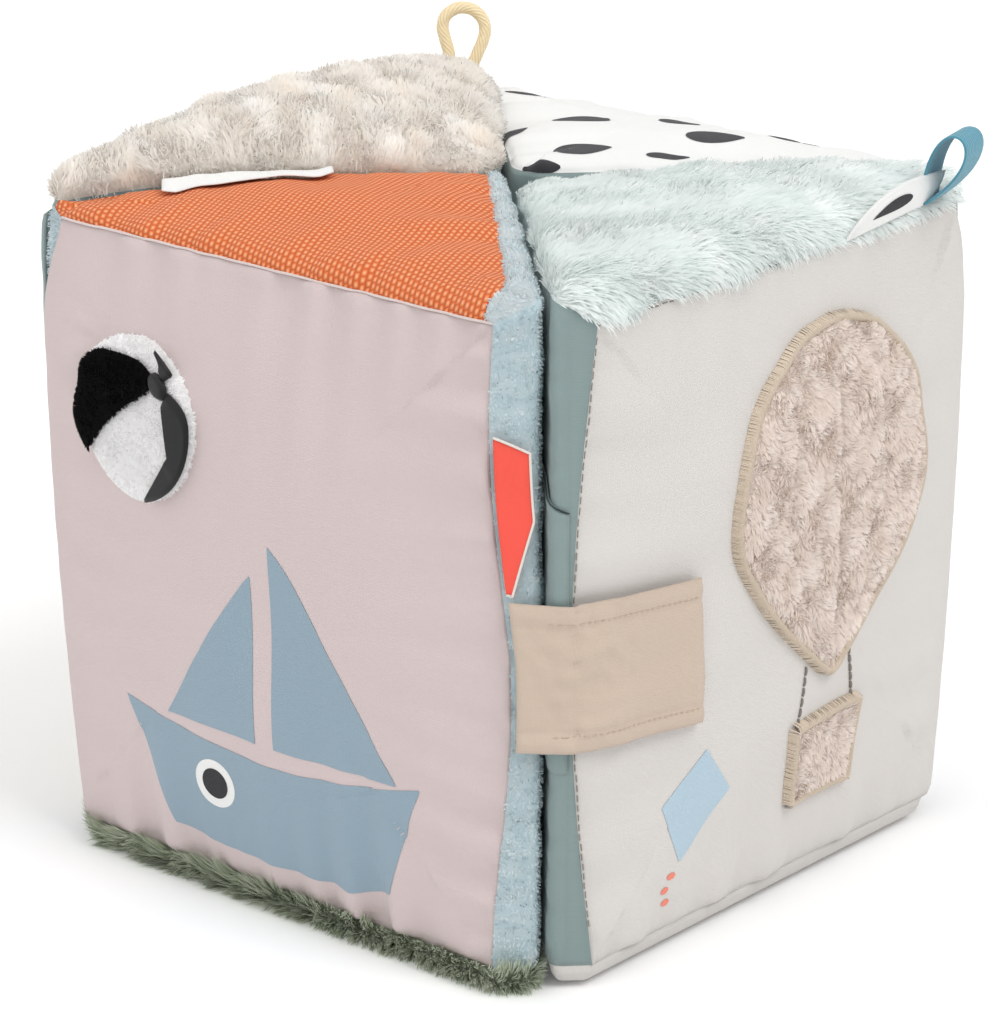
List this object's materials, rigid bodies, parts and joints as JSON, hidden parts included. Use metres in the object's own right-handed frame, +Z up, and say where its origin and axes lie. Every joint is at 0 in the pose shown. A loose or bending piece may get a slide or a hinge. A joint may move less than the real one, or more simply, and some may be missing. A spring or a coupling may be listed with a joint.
{
  "type": "soft fold-out activity cube",
  "caption": "Soft fabric activity cube of four stuffed wedges hinged at their corners, with a closing strap, fabric tags, a ribbon loop, a rope loop and applique patches.",
  "frame": {"origin": "on the surface that it stands on, under the middle of its box, with the rope loop left out", "axes": "+Z up, +X to the corner with the ribbon loop, +Y to the corner with the rope loop; the strap's corner points along -Y"},
  "size_m": [0.2668, 0.2678, 0.2191],
  "materials": {
    "foam": "matte",
    "pink_cotton": "woven cotton, printed",
    "orange_knit": "ribbed knit",
    "sage_fur": "short fur pile",
    "blue_plush": "plush pile",
    "beige_fur": "fur pile",
    "beige_cotton": "woven cotton",
    "blue_lining": "smooth woven",
    "white_cotton": "woven cotton",
    "mint_fur": "fur pile",
    "greige_cotton": "woven cotton",
    "teal_ribbon": "ribbed grosgrain",
    "tan_cotton": "woven cotton",
    "coral_satin": "satin",
    "fastener_tape": "hook and loop",
    "cotton_rope": "twisted cotton",
    "black_plush": "short plush",
    "black_satin": "satin",
    "white_plush": "short plush",
    "rose_beige_plush": "plush pile"
  },
  "bodies": {
    "beige_wedge": {"beige_foam_core": "foam", "beige_face_panel": "beige_cotton", "beige_wall_lining": "blue_lining", "beige_fur_top": "beige_fur", "beige_bottom_panel": "beige_cotton", "left_tape_beige": "blue_lining", "back_tape_beige": "blue_lining", "rope_loop": "cotton_rope"},
    "pink_wedge": {"pink_foam_core": "foam", "pink_face_panel": "pink_cotton", "pink_wall_plush": "blue_plush", "orange_knit_top": "orange_knit", "sage_fur_bottom": "sage_fur", "left_tape_pink": "blue_lining", "ball_base": "white_plush", "ball_plush_panel": "black_plush", "ball_satin_panel_upper": "black_satin", "ball_satin_panel_lower": "black_satin", "ball_hub": "black_satin"},
    "dots_wedge": {"dots_foam_core": "foam", "dots_face_panel": "white_cotton", "dots_wall_lining": "blue_lining", "dots_cotton_top": "white_cotton", "dots_bottom_panel": "beige_cotton", "back_tape_dots": "blue_lining", "right_tape_dots": "blue_lining"},
    "mint_wedge": {"mint_foam_core": "foam", "greige_face_panel": "greige_cotton", "mint_wall_lining": "blue_lining", "mint_fur_top": "mint_fur", "mint_bottom_panel": "beige_cotton", "right_tape_mint": "blue_lining", "strap_loop_patch": "fastener_tape", "mint_wall_pocket": "blue_lining", "balloon_envelope": "rose_beige_plush", "balloon_basket": "rose_beige_plush"},
    "closing_strap": {"strap": "tan_cotton", "strap_hook_patch": "fastener_tape"},
    "coral_pennant": {"coral_tag": "coral_satin"},
    "label": {"top_label": "white_cotton"},
    "leaf_tag": {"drop_tag": "white_cotton"},
    "ribbon": {"ribbon_loop": "teal_ribbon"}
  },
  "joints": [
    {"name": "hinge_left", "type": "hinge", "parent": "beige_wedge", "child": "pink_wedge", "pos_m": [-0.13352, 0.00463, 0], "axis": [0, 0, -1], "range_deg": [0, 175]},
    {"name": "hinge_back", "type": "hinge", "parent": "beige_wedge", "child": "dots_wedge", "pos_m": [-0.00121, 0.13392, 0], "axis": [0, 0, 1], "range_deg": [0, 175], "deforming": ["strap", "strap_hook_patch"]},
    {"name": "hinge_right", "type": "hinge", "parent": "dots_wedge", "child": "mint_wedge", "pos_m": [0.12808, 0.00463, 0], "axis": [0, 0, 1], "range_deg": [0, 175], "deforming": ["strap", "strap_hook_patch"]},
    {"name": "strap_peel", "type": "hinge", "parent": "pink_wedge", "child": "closing_strap", "pos_m": [-0.00966, -0.1301, 0.0955], "axis": [0, 0, -1], "range_deg": [0, 180]},
    {"name": "coral_tag_swing", "type": "hinge", "parent": "pink_wedge", "child": "coral_pennant", "pos_m": [-0.01564, -0.12265, 0.1605], "axis": [0, 0, -1], "range_deg": [0, 165]},
    {"name": "label_lift", "type": "hinge", "parent": "pink_wedge", "child": "label", "pos_m": [-0.07521, 0.00263, 0.19755], "axis": [-1, 0, 0], "range_deg": [0, 75]},
    {"name": "leaf_tag_bend", "type": "hinge", "parent": "mint_wedge", "child": "leaf_tag", "pos_m": [0.0987, -0.03588, 0.1916], "axis": [0.7071, 0.7071, 0], "range_deg": [0, 75], "stiffness_Nm_per_rad": 0.0005},
    {"name": "ribbon_bend", "type": "hinge", "parent": "mint_wedge", "child": "ribbon", "pos_m": [0.11963, -0.01792, 0.191], "axis": [0.5299, 0.848, 0], "range_deg": [0, 15], "stiffness_Nm_per_rad": 0.001}
  ]
}
